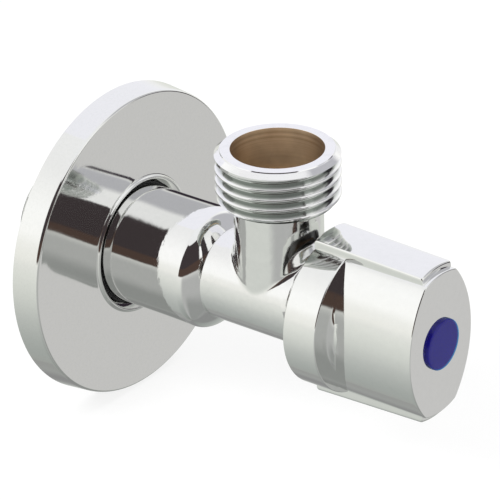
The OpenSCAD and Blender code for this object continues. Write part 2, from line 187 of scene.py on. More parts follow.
def turned_rings(outline, around=192):
    """Rings about the inlet's axis."""
    angle = np.arange(around) * 2 * np.pi / around
    x = np.repeat(outline[:, :1], around, 1)
    return np.stack([x, outline[:, 1:] * np.cos(angle), outline[:, 1:] * np.sin(angle)], -1)


def turned_piece(name, outline, body, replaced=(), around=192):
    """A visible ring: its closed outline turned about the inlet's axis."""
    points, faces = skin(turned_rings(outline, around), loop=True)
    return crisp(mesh_object(name, points, faces, body, replaced))


def solid_tool(name, points, faces, material):
    """A closed solid to be joined to a piece or cut away from it."""
    mesh = welded_mesh(name, points, faces)
    mesh.materials.append(material)
    tool = bpy.data.objects.new(name, mesh)
    bpy.context.scene.collection.objects.link(tool)
    return tool


def turned_tool(name, outline, material, upright=False, around=96):
    """A solid turned about the inlet's axis, or about the outlet's where it is upright."""
    rings = turned_rings(rounded(outline, closed=False), around)
    if upright:
        rings = np.stack([rings[..., 1] + x_outlet, rings[..., 2], rings[..., 0]], -1)
    return solid_tool(name, *skin(rings), material)


def combine(piece, steps):
    """Joins solids to the piece or cuts them away: steps are pairs of an operation and a solid."""
    for operation, tool in steps:
        change = piece.modifiers.new(tool.name, "BOOLEAN")
        change.operation, change.solver, change.object = operation, "EXACT", tool
        change.material_mode = "TRANSFER"
    bpy.context.view_layer.update()
    done = bpy.data.meshes.new_from_object(piece.evaluated_get(bpy.context.evaluated_depsgraph_get()))
    piece.modifiers.clear()
    piece.data = done
    for _, tool in steps:
        bpy.data.objects.remove(tool)
    return piece


# Wall plate: a pressed dish with a rolled lip round its hole
def make_wall_plate():
    """The pressing, from its outer rim over the face and the lip to the hollow back."""
    rim_r = plate_high[1]
    depth, sheet, lean, bend, crown = 5.0, 0.8, 0.5, 0.75, 0.6
    hole_r = 10.8
    crest_r, crest_h = 11.85, 0.5
    flat_r = rim_r - lean - bend

    def face_x(r, inset=0):
        return depth - inset + crown * (1 - (r / flat_r) ** 2)

    def dish(inset, radii):
        return [(face_x(r, inset), r) for r in radii]

    lip_x = face_x(crest_r)
    outer = [(0, rim_r - 0.3, 0.15), (0, rim_r, 0.15)]
    corner = (depth + 0.02, rim_r - lean, 0.7)
    face = dish(0, np.linspace(flat_r, crest_r + 0.75, 14))
    lip = [(lip_x + 0.01, crest_r + 0.35, 0.2), (lip_x + crest_h, crest_r + 0.12, 0.2),
           (lip_x + crest_h - 0.05, crest_r - 0.2, 0.25), (lip_x - 0.45, hole_r + 0.05, 0.1),
           (lip_x - sheet, hole_r + 0.1, 0.1)]
    inner = dish(sheet, np.linspace(crest_r + 0.4, flat_r - 0.2, 10))
    inside = [(depth - sheet, rim_r - sheet - 0.35, 0.6), (0, rim_r - sheet, 0.12)]
    outline = rounded(outer + [corner] + face + lip + inner + inside)
    return turned_piece("wall_plate_pressing", outline, "plate_set", ["wall_plate"], 288)


# Body: the turned outline, the upright neck, and the hollow blend between them
def body_outline():
    """Outline of the barrel, shoulder, centre tube and collar: (x, radius), both ends on the axis."""
    turned = [(0.3, 0), (0.3, relief_r, 0.05), (x_relief, relief_r, 0.1), (x_relief + 0.5, barrel_r, 0.3)]
    turned += [(x, barrel_r) for x in np.arange(3, x_barrel_end, 1)]
    for t in np.linspace(0, 0.95, 9):
        turned.append((x_barrel_end + (x_swell - x_barrel_end) * t, barrel_r + (swell_r - barrel_r) * t * t))
    turned.append((x_swell, swell_r, 0.25))
    for t in np.linspace(0.14, 0.97, 13):
        turned.append((x_swell + (x_dome - x_swell) * t,
                       tube_r + (swell_r - tube_r) * (1 - 0.12 * t - 0.88 * t * t)))
    turned += [(x_dome, tube_r, 0.08), (x_dome + 0.4, tube_r)]
    turned += [(x, tube_r) for x in np.arange(x_dome + 1, x_cone - 0.9, 0.7)]
    turned += [(x_cone, tube_r, 0.6), (x_collar, collar_r, 0.35), (x_body, collar_r, 0.35), (x_body, 0)]
    return rounded(turned, closed=False)


def outline_distance(outline, x, r):
    """Signed distance from points to the outline, positive outside it."""
    a, b = outline[:-1], outline[1:]
    along = b - a
    px, pr = x[:, None] - a[:, 0], r[:, None] - a[:, 1]
    t = np.clip((px * along[:, 0] + pr * along[:, 1]) / (along ** 2).sum(1), 0, 1)
    gap_x, gap_r = px - t * along[:, 0], pr - t * along[:, 1]
    gap = np.hypot(gap_x, gap_r)
    best = gap.argmin(1)
    rows = np.arange(len(x))
    side = along[best, 0] * pr[rows, best] - along[best, 1] * px[rows, best]
    return gap[rows, best] * np.where(side >= 0, 1, -1)


def tee_field(outline, p):
    """Distance from the body's skin: turned form and neck, with a round blend where they cross."""
    x, y, z = p.T
    r = np.hypot(y, z)
    turned = outline_distance(outline, x, r)
    out = np.hypot(x - x_outlet, y)
    neck = np.maximum(out - neck_r, -z)
    together = np.clip(y * y / np.maximum(r * out, 1e-6), 0, 1)
    blend = foot_blend * (1 - together ** 2) + 0.02
    both = np.hypot(np.maximum(blend - turned, 0), np.maximum(blend - neck, 0))
    return np.maximum(blend, np.minimum(turned, neck)) - both


def onto_tee(outline, p, steps=6):
    """Moves points onto the body's skin along its steepest way."""
    probe = 0.01
    for _ in range(steps):
        value = tee_field(outline, p)
        slope = np.stack([(tee_field(outline, p + probe * axis) - value) / probe for axis in np.eye(3)], 1)
        p = p - slope * (value / np.maximum((slope ** 2).sum(1), 0.2))[:, None]
    return p


def body_skin():
    """Rings of the turned form with a window cut in them, which the neck's own rings fill."""
    around = 160
    window = 45
    outline = body_outline()
    angle = np.arange(around) * 2 * np.pi / around
    first = int(np.searchsorted(outline[:, 0], x_dome + 0.3))
    last = int(np.searchsorted(outline[:, 0], x_collar - 0.2))
    x = np.repeat(outline[:, :1], around, 1)
    rings = np.stack([x, outline[:, 1:] * np.sin(angle), outline[:, 1:] * np.cos(angle)], -1)
    index = np.arange(rings.shape[0] * around).reshape(rings.shape[:2])
    faces = []
    for i in range(len(outline) - 1):
        for j in range(around):
            inside = first <= i < last and (j < window or j >= around - window)
            if not inside:
                k = (j + 1) % around
                faces.append([index[i, j], index[i + 1, j], index[i + 1, k], index[i, k]])
    edge_j = [j % around for j in range(-window, window + 1)]
    border = [(first, j) for j in edge_j]
    border += [(i, window) for i in range(first + 1, last)]
    border += [(last, j) for j in reversed(edge_j)]
    border += [(i, edge_j[0]) for i in range(last - 1, first, -1)]
    rim = np.array([rings[i, j] for i, j in border])
    theta = np.array([(j if j <= window else j - around) * 2 * np.pi / around for _, j in border])
    dx = rim[:, 0] - x_outlet
    heading = np.arctan2(theta * tube_r * 0.72, dx)
    foot_x = x_outlet + neck_r * np.cos(heading)
    foot_y = neck_r * np.sin(heading)
    foot_theta = np.arcsin(np.clip(foot_y / tube_r, -0.985, 0.985))
    rows = []
    for z in np.linspace(0, 1, 26):
        r_here = np.interp(foot_x, outline[2:-1, 0], outline[2:-1, 1])
        z_foot = np.sqrt(np.maximum(r_here ** 2 - foot_y ** 2, 0))
        rise = neck_top + (z_foot - neck_top) * (1 - (1 - z) ** 1.6)
        rows.append(np.stack([foot_x, foot_y, rise], 1))
    for t in np.linspace(0, 1, 16)[1:-1]:
        share = t ** 1.3
        px = foot_x + (rim[:, 0] - foot_x) * share
        pt = foot_theta + (theta - foot_theta) * share
        pr = np.interp(px, outline[2:-1, 0], outline[2:-1, 1])
        rows.append(np.stack([px, pr * np.sin(pt), pr * np.cos(pt)], 1))
    patch = np.array(rows)
    shape = patch.shape
    moved = onto_tee(outline, patch[1:].reshape(-1, 3)).reshape(shape[0] - 1, shape[1], 3)
    patch = np.concatenate([patch[:1], moved, rim[None]])
    top = np.array([[x_outlet, 0, neck_top]])
    points = np.concatenate([rings.reshape(-1, 3), patch.reshape(-1, 3), top])
    start = rings.shape[0] * around
    _, patch_faces = skin(patch)
    faces += [[start + v for v in face] for face in patch_faces]
    centre = len(points) - 1
    count = shape[1]
    faces += [[centre, start + j, start + (j + 1) % count] for j in range(count)]
    return points, faces


def make_body(chrome, brass):
    """The casting with its bores, seat, headwork chamber and waterway cut out of it."""
    points, faces = body_skin()
    body = mesh_object("body_casting", points, faces, "body", ["valve_body"])
    body.data.materials.append(chrome)
    x_taper = x_seat - seat_len
    inlet = [(0, 0), (0, inlet_bore_r), (x_taper - 2, inlet_bore_r), (x_taper, seat_r), (x_seat, seat_r)]
    chamber = [(x_seat, chamber_r), (x_headwork_thread, chamber_r), (x_headwork_thread, headwork_thread_r),
               (x_body - 0.4, headwork_thread_r), (x_body + 1, headwork_thread_r + 1.4), (x_body + 1, 0)]
    bores = turned_tool("bores", inlet + chamber, brass)
    channel = [(0, 0), (0, waterway_r), (neck_top + 1, waterway_r), (neck_top + 1, 0)]
    waterway = turned_tool("waterway", channel, brass, upright=True)
    return crisp(combine(body, [("DIFFERENCE", bores), ("DIFFERENCE", waterway)]))


# Pipe threads: a sleeve whose rings follow the helix
def thread_profile():
    """One pitch of a rounded 55 degree thread, from crest to crest: shares of the pitch, and depths."""
    turn = np.linspace(0, math.radians(62.5), 5)
    across = thread_round * np.sin(turn)
    down = thread_round * (1 - np.cos(turn))
    half = thread_pitch / 2
    falling = list(zip(across, down))
    flank_run = half - 2 * across[-1]
    flank_drop = thread_depth - 2 * down[-1]
    for t in (0.333, 0.667):
        falling.append((across[-1] + flank_run * t, down[-1] + flank_drop * t))
    falling += [(half - a, thread_depth - d) for a, d in zip(across[::-1], down[::-1])]
    rising = [(thread_pitch - a, d) for a, d in falling[::-1]][1:-1]
    rows = np.array(falling + rising)
    return rows[:, 0] / thread_pitch, rows[:, 1]


def threaded_sleeve(name, low, high, crest, last_turn, ends, closing, upright, brass_r, materials):
    """Closed sleeve: a helix outside between low and high, then the closing outline through its inside.

    The thread fades out at last_turn. ends are the radii at low and high, and faces nearer the axis
    than brass_r take the second material.
    """
    around = 192
    angle = np.arange(around + 1) * 2 * np.pi / around
    shares, depths = thread_profile()
    turns = np.arange(-3, int((high - crest) / thread_pitch) + 3)
    number = np.repeat(turns, len(shares))[:, None]
    along = crest + thread_pitch * (number + np.tile(shares, len(turns))[:, None] + angle / (2 * np.pi))
    fade = np.clip((last_turn - number - angle / (2 * np.pi)) / 0.2, 0, 1)
    radius = thread_r - np.tile(depths, len(turns))[:, None] * fade
    place = np.clip(along, low, high)
    radius = np.minimum(radius, np.minimum(ends[0] + place - low, ends[1] + high - place))
    radius = np.where(along <= low, ends[0], np.where(along >= high, ends[1], radius))
    cos, sin = np.cos(angle), np.sin(angle)
    helix = np.stack([place, radius * cos, radius * sin], -1)
    index = np.arange(helix.shape[0] * helix.shape[1]).reshape(helix.shape[:2])
    faces = []
    for i in range(len(index) - 1):
        for j in range(around):
            faces.append([index[i, j], index[i + 1, j], index[i + 1, j + 1], index[i, j + 1]])
    inside = rounded([(high, ends[1])] + closing + [(low, ends[0])], closed=False)
    rings = turned_rings(inside, around)
    start = helix.shape[0] * helix.shape[1]
    faces += [[start + v for v in face] for face in skin(rings)[1]]
    points = np.concatenate([helix.reshape(-1, 3), rings.reshape(-1, 3)])
    if upright:
        points = np.stack([points[:, 1] + x_outlet, points[:, 2], points[:, 0]], -1)
    piece = mesh_object(name, points, faces, "body", ["valve_body"])
    for material in materials:
        piece.data.materials.append(material)
    for face in piece.data.polygons:
        x, y, z = face.center / MM
        from_axis = math.hypot(x - x_outlet, y) if upright else math.hypot(y, z)
        face.material_index = int(from_axis < brass_r)
    return crisp(piece, 30)


def make_outlet(chrome, brass):
    """Outlet thread on its sleeve, with a small chamfer at the rim and a counterbore inside."""
    top = outlet_top
    closing = [(top - 0.17, outlet_rim_r + 0.15), (top - 0.16, outlet_rim_r + 0.08), (top, outlet_rim_r),
               (top, counterbore_r + 0.06, 0.04), (top - 0.06, counterbore_r, 0.03)]
    closing += [(z, counterbore_r) for z in np.arange(top - 1, counterbore_floor + 0.2, -0.5)]
    closing += [(counterbore_floor, counterbore_r, 0.1), (counterbore_floor - 0.6, waterway_r + 0.02, 0.1),
                (neck_top - 0.4, waterway_r + 0.02), (neck_top - 0.4, neck_r - 0.2),
                (neck_top - 0.2, neck_r - 0.05), (z_thread - 0.3, neck_r + 0.15, 0.3)]
    last_turn = (top - thread_stop - first_crest) / thread_pitch - 0.5
    return threaded_sleeve("outlet_thread", z_thread, top - rim_band, first_crest, last_turn,
                           (outlet_rim_r, thread_r), closing, True, counterbore_r + 0.04, [chrome, brass])


def make_inlet(chrome, brass):
    """Inlet thread, cut over the whole length behind the wall plate."""
    closing = [(x_sleeve_end, relief_r - 0.3, 0.1), (x_sleeve_end - 0.3, relief_r - 0.4),
               (x_sleeve_end - 0.4, inlet_bore_r + 0.02), (x_inlet + 0.6, inlet_bore_r, 0.1),
               (x_inlet, inlet_bore_r + 0.6, 0.1)]
    no_fade = 99
    return threaded_sleeve("inlet_thread", x_inlet, x_sleeve_end, x_inlet, no_fade,
                           (inlet_tip_r, inlet_root_r), closing, False, inlet_bore_r + 0.3, [chrome, brass])


# Knob: skirt, hollowed shoulder, oval grip with two raised bars, and the room inside
skirt_r = knob_high[1]
x_skirt = x_knob + 6.4
skirt_edge = 0.22
grip_r = 12.7
grip_mid, grip_end = 8.7, 4.3
scallop_r = 1.7
bar_half = 4.0
bar_back_r, bar_front_r = knob_high[2], 13.8
bar_setback = 0.9
bar_edge, bar_foot = 0.45, 0.5
face_edge = 0.2
room_r, x_room = 11.4, x_knob + 4.5
guide_r, x_step = 6.6, x_knob + 10.7
bush_r, x_bush = 4.8, x_knob + 16.5
screw_hole_r, x_web = 2.2, x_knob + 17.9
well_r, cap_seat = 3.95, 1.3
cap_recess_r = cap_high[1] + 0.02


def grip_outline():
    """Quarter of the oval, from its side to the foot of the bar: points in y and z, and outward ways."""
    corner_z = math.sqrt(grip_r ** 2 - grip_end ** 2)
    side_r = (corner_z ** 2 + (grip_mid - grip_end) ** 2) / (2 * (grip_mid - grip_end))
    middle = grip_mid - side_r
    top = math.asin(corner_z / side_r)
    turn_off = 0.035
    beta = np.linspace(0, top - turn_off, 34)
    points = [(middle + side_r * math.cos(b), side_r * math.sin(b)) for b in beta]
    ways = [(math.cos(b), math.sin(b)) for b in beta]
    start = np.array(points[-1])
    corner = np.array([grip_end, corner_z])
    end = np.array([bar_half + 0.02, math.sqrt(grip_r ** 2 - (bar_half + 0.02) ** 2)])
    for t in np.linspace(0, 1, 7)[1:]:
        points.append(tuple((1 - t) ** 2 * start + 2 * t * (1 - t) * corner + t * t * end))
        lean = beta[-1] + (math.pi / 2 - beta[-1]) * t
        ways.append((math.cos(lean), math.sin(lean)))
    points.append((bar_half, math.sqrt(grip_r ** 2 - bar_half ** 2)))
    ways.append((0.0, 1.0))
    return np.array(points), np.array(ways)


def grip_ring(outline, ways, x, inset, bar_radius):
    """One ring round the grip and its two bars, from a quarter of it."""
    flat = outline - ways * inset
    quarter = [(x, y, z) for y, z in flat[:-1]]
    foot = np.array([x, bar_half, flat[-1, 1]])
    crest = np.array([x, bar_half, math.sqrt(max(bar_radius ** 2 - bar_half ** 2, 0))])
    height = max(crest[2] - foot[2], 0)
    toe = min(bar_foot, 0.45 * height)
    quarter += [tuple(p) for p in bezier_corner(np.array(quarter[-1]), foot, crest, toe, 3)]
    small = min(bar_edge, 0.45 * height)
    lean = math.asin((bar_half - small) / bar_radius)
    end = np.array([x, bar_half - small, bar_radius * math.cos(lean)])
    quarter += [tuple(p) for p in bezier_corner(foot, crest, end, small, 4)]
    quarter += [(x, bar_radius * math.sin(a), bar_radius * math.cos(a)) for a in np.linspace(lean, 0, 10)[1:]]
    quarter = np.array(quarter)
    left = (quarter * (1, -1, 1))[::-1][1:]
    upper = np.concatenate([quarter, left])
    lower = (upper * (1, 1, -1))[::-1][1:-1]
    return np.concatenate([upper, lower])


def make_grip():
    """The oval grip with its bars, closed at both ends: its back part is joined into the skirt."""
    outline, ways = grip_outline()
    x_start, x_end = x_knob + 0.02, x_face - bar_setback
    rows = []

    def bar_r(x):
        return bar_back_r + (bar_front_r - bar_back_r) * (x - x_knob) / (x_end - x_knob)

    for t in np.linspace(0, 1, 5):
        rows.append((x_start + bar_edge * t ** 2, 0, bar_r(x_start) - bar_edge * (1 - t) ** 2))
    rows += [(x, 0, bar_r(x)) for x in np.linspace(x_start + bar_edge, x_end - bar_edge, 9)[1:]]
    for t in np.linspace(0, 1, 6)[1:]:
        rows.append((x_end - bar_edge * (1 - t) ** 2, 0, bar_r(x_end) - bar_edge * t ** 2))
    foot = 0.16
    for t in np.linspace(0, 1, 4):
        rows.append((x_end + foot * t ** 2 + 1e-4, 0, grip_r + foot * (1 - t) ** 2))
    for t in np.linspace(0, 1, 5):
        rows.append((x_face - face_edge * (1 - t) ** 2, face_edge * t ** 2, grip_r - face_edge * t ** 2))
    rings = np.array([grip_ring(outline, ways, *row) for row in rows])
    points, faces = skin(rings)
    count = rings.shape[1]
    last = len(points) - count
    faces += [list(range(count)), list(range(last, last + count))]
    return points, faces


def make_knob(chrome, zinc):
    """The knob's casting: grip joined to the hollowed skirt, with the room for the bush and screw inside."""
    points, faces = make_grip()
    knob = mesh_object("knob_casting", points, faces, "knob_set", ["knob"])
    knob.data.materials.append(chrome)
    hollow = [(x_skirt, grip_mid + scallop_r)]
    for turn in np.radians(np.linspace(8, 90, 14)):
        hollow.append((x_skirt + scallop_r * (1 - math.cos(turn)),
                       grip_mid - 0.02 + scallop_r * (1 - math.sin(turn))))
    outline = [(x_knob, 0), (x_knob, skirt_r, skirt_edge), (x_skirt, skirt_r, skirt_edge)]
    skirt = turned_tool("skirt", outline + hollow + [(x_skirt + scallop_r, 0)], chrome, around=256)
    room = [(x_knob - 1, 0), (x_knob - 1, room_r + 1.3), (x_knob + 0.3, room_r), (x_room, room_r, 0.4),
            (x_room, guide_r), (x_step, guide_r), (x_step, bush_r), (x_bush, bush_r), (x_bush, screw_hole_r),
            (x_web, screw_hole_r), (x_web, well_r), (x_face - cap_seat, well_r),
            (x_face - cap_seat, cap_recess_r), (x_face + 1, cap_recess_r), (x_face + 1, 0)]
    inside = turned_tool("room", room, zinc, around=192)
    return crisp(combine(knob, [("UNION", skirt), ("DIFFERENCE", inside)]), 32)


def make_index_cap():
    """The blue button in the knob's face, standing a little proud of it."""
    back, front, r = cap_low[0], cap_high[0], cap_high[1]
    step = x_face - cap_seat + 0.02
    outline = rounded([(back, 0), (back, r - 0.9), (back, r - 0.5), (step, r - 0.5), (step, r),
                       (front - 0.06, r, 0.14), (front, r - 0.5, 0.3), (front, 0)], closed=False)
    points, faces = skin(turned_rings(outline, 128))
    piece = mesh_object("index_button", points, faces, "knob_set", ["index_cap"])
    return crisp(piece)


# Finishes
class Socket:
    """One value in a material's nodes, with ordinary arithmetic."""

    def __init__(self, nodes, socket):
        self.nodes, self.socket = nodes, socket

    def _math(self, operation, first, second):
        return Socket(self.nodes, self.nodes.add("Math", {"operation": operation}, {0: first, 1: second}))

    def __add__(self, other):
        return self._math("ADD", self, other)

    def __radd__(self, other):
        return self._math("ADD", other, self)

    def __sub__(self, other):
        return self._math("SUBTRACT", self, other)

    def __rsub__(self, other):
        return self._math("SUBTRACT", other, self)

    def __mul__(self, other):
        return self._math("MULTIPLY", self, other)

    def __rmul__(self, other):
        return self._math("MULTIPLY", other, self)

    def __truediv__(self, other):
        return self._math("DIVIDE", self, other)

    def __pow__(self, other):
        return self._math("POWER", self, other)


class Finish:
    """A material under construction: its nodes are added one at a time and joined to its shader."""

    def __init__(self, name, world=False):
        self.owner = bpy.data.worlds.new(name) if world else bpy.data.materials.new(name)
        self.owner.use_nodes = True
        self.tree = self.owner.node_tree
        self.tree.nodes.clear()
        self.output = self.tree.nodes.new("ShaderNodeOutputWorld" if world else "ShaderNodeOutputMaterial")

    def add(self, kind, settings, inputs, output=0):
        """A node of a kind: its settings come first, then the values or links of its sockets."""
        node = self.tree.nodes.new("ShaderNode" + kind)
        for key, value in settings.items():
            if key == "stops":
                ramp = node.color_ramp
                while len(ramp.elements) < len(value):
                    ramp.elements.new(0.5)
                for element, (place, colour) in zip(ramp.elements, value):
                    element.position = place
                    element.color = (*colour, 1) if len(colour) == 3 else colour
            else:
                setattr(node, key, value)
        for key, value in inputs.items():
            self.feed(node.inputs[key], value)
        return node.outputs[output]

    def feed(self, target, value):
        if isinstance(value, Socket):
            self.tree.links.new(value.socket, target)
        elif isinstance(value, bpy.types.NodeSocket):
            self.tree.links.new(value, target)
        else:
            target.default_value = value

    def value(self, kind, settings, inputs, output=0):
        return Socket(self, self.add(kind, settings, inputs, output))

    def surface(self, shader):
        self.tree.links.new(shader, self.output.inputs["Surface"])
        return self.owner


def place_mm(finish):
    """The point on the piece, in millimetres."""
    point = finish.add("TexCoord", {}, {}, "Object")
    return finish.add("VectorMath", {"operation": "SCALE"}, {0: point, "Scale": 1 / MM})


def apart(finish, vector):
    """The three coordinates of a vector, as values."""
    parts = finish.add("SeparateXYZ", {}, {"Vector": vector})
    return [Socket(finish, parts.node.outputs[axis]) for axis in "XYZ"]


def noise(finish, vector, scale, detail=2.0, spread=0.5):
    """Cloudy noise between 0 and 1: scale is how many lumps one unit of the vector holds."""
    return finish.value("TexNoise", {}, {"Vector": vector, "Scale": scale, "Detail": detail,
                                         "Roughness": spread}, "Fac")


def stretched(finish, vector, scale):
    """A point with each coordinate scaled by itself."""
    return finish.add("VectorMath", {"operation": "MULTIPLY"}, {0: vector, 1: scale})


def smooth_step(finish, value, low, high):
    """A value that eases from 0 at low to 1 at high."""
    return finish.value("MapRange", {"interpolation_type": "SMOOTHSTEP"},
                        {"Value": value, "From Min": low, "From Max": high}, "Result")


def blend_colour(finish, share, first, second):
    """A colour between two: share is how much there is of the second."""
    return finish.add("Mix", {"data_type": "RGBA"}, {0: share, 6: (*first, 1), 7: (*second, 1)}, 2)


def surface(finish, colour, metallic, rough, height, extra=None):
    """Joins the shader: height is a bump in millimetres."""
    inputs = {"Base Color": colour, "Metallic": metallic, "Roughness": rough}
    inputs["Normal"] = finish.add("Bump", {}, {"Strength": 1.0, "Distance": MM, "Height": height})
    inputs.update(extra or {})
    return finish.surface(finish.add("BsdfPrincipled", {}, inputs))


def turned_lines(finish, point, axis, pitch):
    """Fine uneven lines round an axis, which is 0 for x, 1 for y and 2 for z."""
    along = apart(finish, point)[axis]
    line = finish.add("CombineXYZ", {}, {"X": along / pitch, "Y": 0.0, "Z": 0.0})
    return noise(finish, line, 1.0, 3.0)


def make_knob_chrome():
    """Polished bright plating with a slow unevenness, in two uneven shades."""
    finish = Finish("chrome_polished")
    point = place_mm(finish)
    slow = noise(finish, point, 0.16, 1.0)
    wear = noise(finish, point, 0.9, 4.0)
    colour = blend_colour(finish, wear, (0.87, 0.875, 0.865), (0.92, 0.925, 0.915))
    return surface(finish, colour, 1.0, 0.035 + wear * 0.035, slow * 0.035)


def make_thread_chrome():
    """Cut threads under the plating: duller in the grooves than on the crests, and darker there with painted
    shade.
    """
    finish = Finish("chrome_threads")
    point = place_mm(finish)
    x, y, z = apart(finish, point)
    upright = smooth_step(finish, z, 15, 16)
    off = x - x_outlet * upright
    across = z + (off - z) * upright
    around = (across * across + y * y) ** 0.5
    crest = smooth_step(finish, around, 9.7, 10.3)
    top = smooth_step(finish, z, outlet_top - 1.1, outlet_top - 0.9)
    clear_of_shade = finish.value("Math", {"operation": "MAXIMUM"}, {0: crest, 1: top})
    stain = noise(finish, stretched(finish, point, (0.5, 0.5, 2.0)), 1.2, 4.0)
    # Painted shade: the grooves take the darker colour, the crests and the rim band the bright one.
    colour = blend_colour(finish, clear_of_shade * (0.75 + stain * 0.5), (0.52, 0.545, 0.525), (0.92, 0.92, 0.925))
    slow = noise(finish, point, 0.7, 2.0)
    rough = 0.10 - clear_of_shade * 0.05 + stain * 0.06
    return surface(finish, colour, 1.0, rough, slow * 0.02 + stain * 0.003)


def make_blue_plastic():
    """Deep blue button with painted light along its lower right edge."""
    finish = Finish("plastic_blue")
    point = place_mm(finish)
    _, y, z = apart(finish, point)
    off = ((y + 0.42) ** 2.0 + (z - 0.28) ** 2.0) ** 0.5
    painted_light_edge = smooth_step(finish, off, 4.15, 4.6)
    cloud = noise(finish, point, 0.6, 2.0)
    # Painted light: the lower right edge is coloured a paler azure.
    colour = blend_colour(finish, painted_light_edge, (0.006, 0.004, 0.150), (0.0, 0.16, 0.38))
    return surface(finish, colour, 0.0, 0.18 + cloud * 0.1, cloud * 0.02, {"Specular IOR Level": 0.35})


def make_body_chrome():
    """Turned bright on the barrel and shoulder, cast and polished by hand from the shoulder outward."""
    finish = Finish("chrome_body")
    point = place_mm(finish)
    x = apart(finish, point)[0]
    cast = smooth_step(finish, x, x_dome - 0.6, x_dome + 0.6)
    ripple = noise(finish, point, 0.42, 1.0)
    mottle = noise(finish, stretched(finish, point, (1.0, 1.0, 0.6)), 1.1, 2.0)
    lathe = turned_lines(finish, point, 0, 0.35)
    slow = noise(finish, point, 0.12, 1.0)
    hand_polished = ripple * 0.045 + mottle * 0.010
    lathe_turned = lathe * 0.0016 + slow * 0.07 + mottle * 0.005
    height = cast * hand_polished + (1 - cast) * lathe_turned
    wear = noise(finish, point, 1.3, 4.0)
    colour = blend_colour(finish, wear, (0.86, 0.865, 0.86), (0.92, 0.92, 0.915))
    return surface(finish, colour, 1.0, 0.015 + wear * 0.03 + cast * 0.07, height)


def make_plate_chrome():
    """Pressed and brushed round its middle, then plated."""
    finish = Finish("chrome_pressed")
    point = place_mm(finish)
    _, y, z = apart(finish, point)
    around = (y * y + z * z) ** 0.5
    grain = noise(finish, finish.add("CombineXYZ", {}, {"X": around * 5.0, "Y": 0.0, "Z": 0.0}), 1.0, 4.0)
    speck = noise(finish, point, 2.2, 5.0, 0.6)
    colour = blend_colour(finish, speck, (0.84, 0.85, 0.83), (0.92, 0.92, 0.91))
    rough = 0.035 + grain * 0.03 + speck * 0.03
    return surface(finish, colour, 1.0, rough, grain * 0.0006 + speck * 0.001)


def make_bare_metal(name, dark, light, rough, axis=2):
    """Machined metal with turned lines along one axis and slow staining."""
    finish = Finish(name)
    point = place_mm(finish)
    stain = noise(finish, point, 0.35, 4.0)
    line = turned_lines(finish, point, axis, 0.35)
    colour = blend_colour(finish, stain * 0.6 + line * 0.4, dark, light)
    return surface(finish, colour, 1.0, rough + stain * 0.15, line * 0.004)


def make_bore_brass():
    """Bare bored brass: turned rings show near the mouth, and two sides are darkened with painted shade."""
    finish = Finish("brass_bore")
    point = place_mm(finish)
    x, y, z = apart(finish, point)
    stain = noise(finish, point, 0.35, 4.0)
    line = turned_lines(finish, point, 2, 0.45)
    mouth = smooth_step(finish, z, outlet_top - 4.5, outlet_top - 0.8)
    clean = stain * 0.6 + line * 0.4 + mouth * (line - 0.5) * 1.4
    # The two sides with painted shade lie along this direction across the bore
    shade_x, shade_y = 0.785, 0.62
    side = ((x - x_outlet) * shade_x + y * shade_y) / counterbore_r
    painted_shade_sides = smooth_step(finish, side * side, 0.30, 0.95)
    brass_unshaded = blend_colour(finish, clean, (0.42, 0.28, 0.17), (0.88, 0.69, 0.46))
    # Painted shade: the two sides of the bore blend towards dark brown.
    colour = finish.add("Mix", {"data_type": "RGBA"}, {0: painted_shade_sides * 0.75, 6: brass_unshaded, 7: (0.17, 0.12, 0.08, 1)}, 2)
    return surface(finish, colour, 0.7, 0.30 + stain * 0.15, line * 0.04)


def make_moulded(name, dark, light, rough, grain=0.004, coat=0.0):
    """Plastic, rubber or ceramic with a fine skin."""
    finish = Finish(name)
    point = place_mm(finish)
    cloud = noise(finish, point, 0.5, 3.0)
    skin_grain = noise(finish, point, 6.0, 2.0)
    colour = blend_colour(finish, cloud, dark, light)
    extra = {"Coat Weight": coat, "Coat Roughness": 0.03} if coat else {}
    return surface(finish, colour, 0.0, rough + skin_grain * 0.1, skin_grain * grain, extra)


# Camera at the photograph's angle
def make_camera():
    azimuth, elevation, roll = (math.radians(v) for v in (38.315, 27.117, -1.453))
    distance, side_shift, lift, aim_x = 550.5, -0.884, 5.21, 30.01
    lens_per_frame = 6.5529
    back = Vector((math.sin(azimuth) * math.cos(elevation), -math.cos(azimuth) * math.cos(elevation),
                   math.sin(elevation)))
    level = Vector((math.cos(azimuth), math.sin(azimuth), 0))
    upright = back.cross(level)
    right = level * math.cos(roll) + upright * math.sin(roll)
    up = upright * math.cos(roll) - level * math.sin(roll)
    place = back * distance + right * side_shift + up * lift + Vector((aim_x, 0, 0))
    data = bpy.data.cameras.new("camera")
    data.sensor_width = 36
    data.lens = lens_per_frame * data.sensor_width
    data.clip_start, data.clip_end = 0.01, 10
    camera = bpy.data.objects.new("camera", data)
    turn = Matrix((right, up, back)).transposed().to_4x4()
    camera.matrix_world = Matrix.Translation(place * MM) @ turn
    bpy.context.scene.collection.objects.link(camera)
    bpy.context.scene.camera = camera


def band(value, low, high, soft):
    """A mask that is 1 between low and high, with soft edges."""
    rise = value.nodes.value("MapRange", {"interpolation_type": "SMOOTHSTEP"},
                             {"Value": value, "From Min": low - soft, "From Max": low + soft})
    fall = value.nodes.value("MapRange", {"interpolation_type": "SMOOTHSTEP"},
                             {"Value": value, "From Min": high - soft, "From Max": high + soft})
    return rise * (1 - fall)


